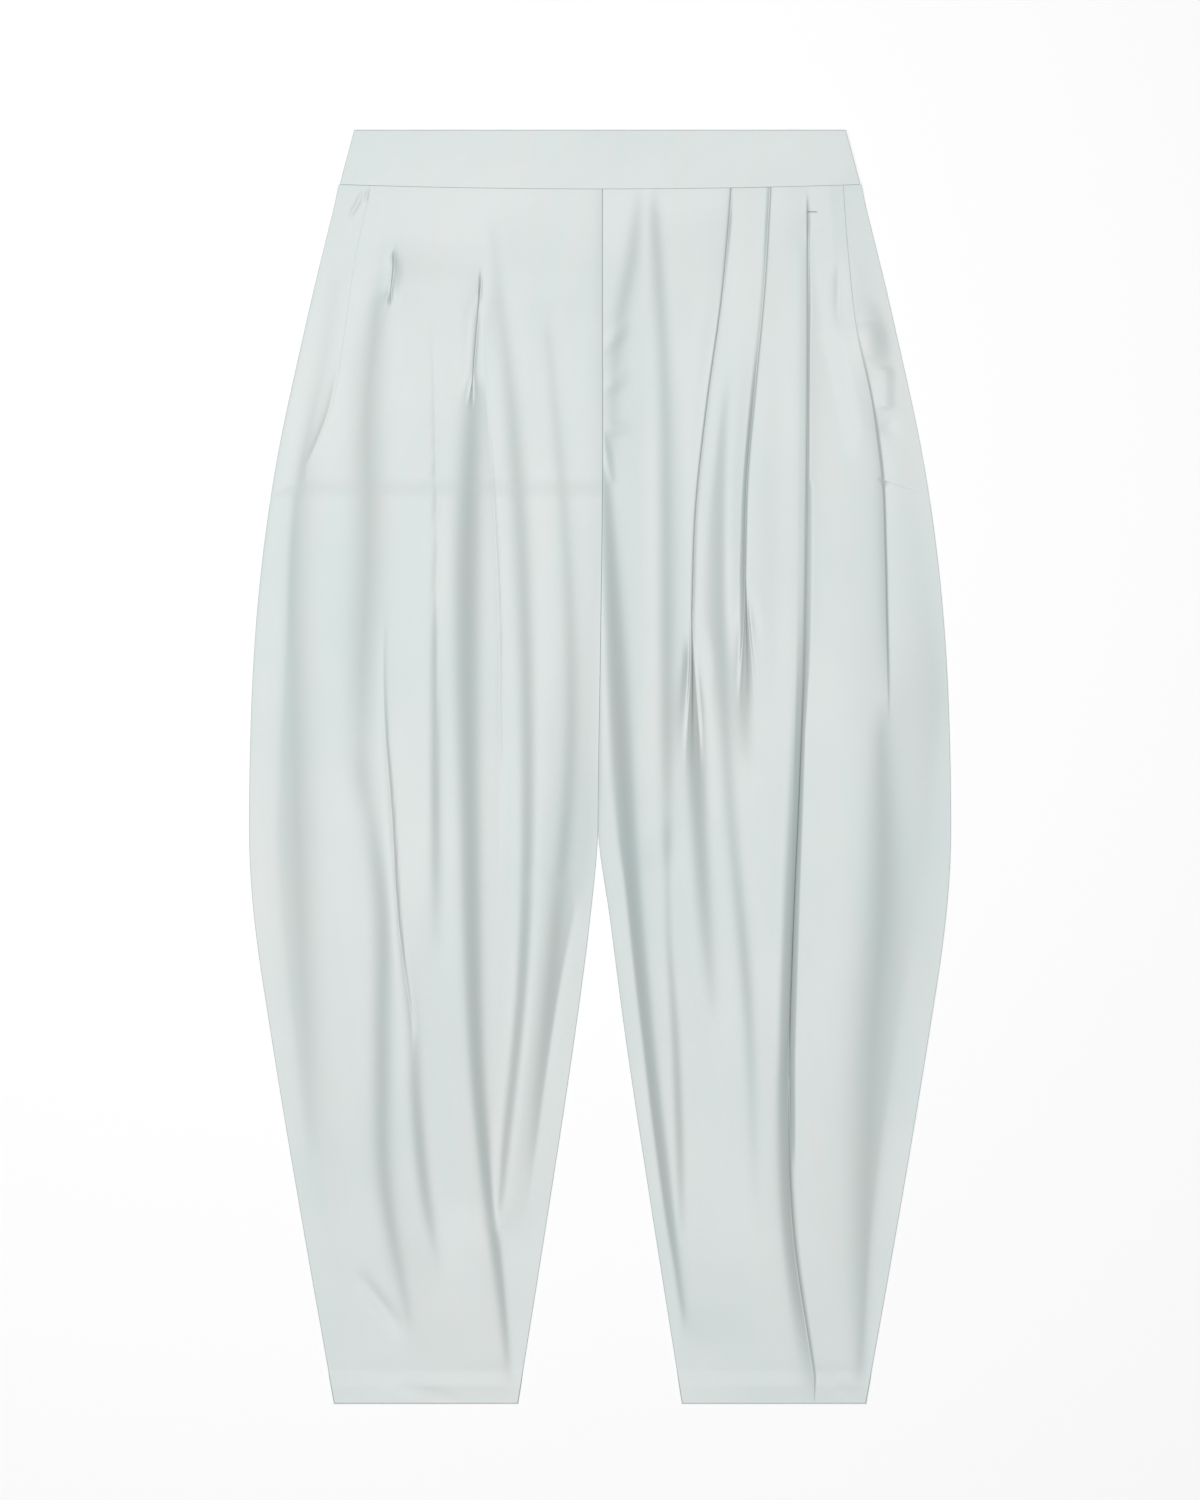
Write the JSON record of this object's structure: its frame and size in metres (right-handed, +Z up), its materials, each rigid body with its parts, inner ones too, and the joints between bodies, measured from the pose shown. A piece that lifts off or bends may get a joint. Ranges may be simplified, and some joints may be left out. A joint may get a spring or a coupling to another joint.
{
  "type": "balloon trousers, laid flat",
  "caption": "Long balloon trousers laid flat, face up: a wide waistband, pleats that open into long soft folds, slanted side pockets and legs that taper to narrow turned-up hems.",
  "frame": {"origin": "middle of the underside's bounding box, on the surface that the trousers lie on", "axes": "+Z up from the surface, +Y from the hems to the waistband, +X to the wearer's left leg"},
  "size_m": [0.5508, 1, 0.0099],
  "materials": {
    "cloth": "pale mint grey satin-backed crepe with a soft sheen"
  },
  "bodies": {
    "root": {"waistband_front": "cloth", "waistband_back": "cloth", "front_leg_right": "cloth", "front_leg_left": "cloth", "back_leg_right": "cloth", "back_leg_left": "cloth", "pocket_side_right": "cloth", "pocket_side_left": "cloth"}
  },
  "joints": []
}
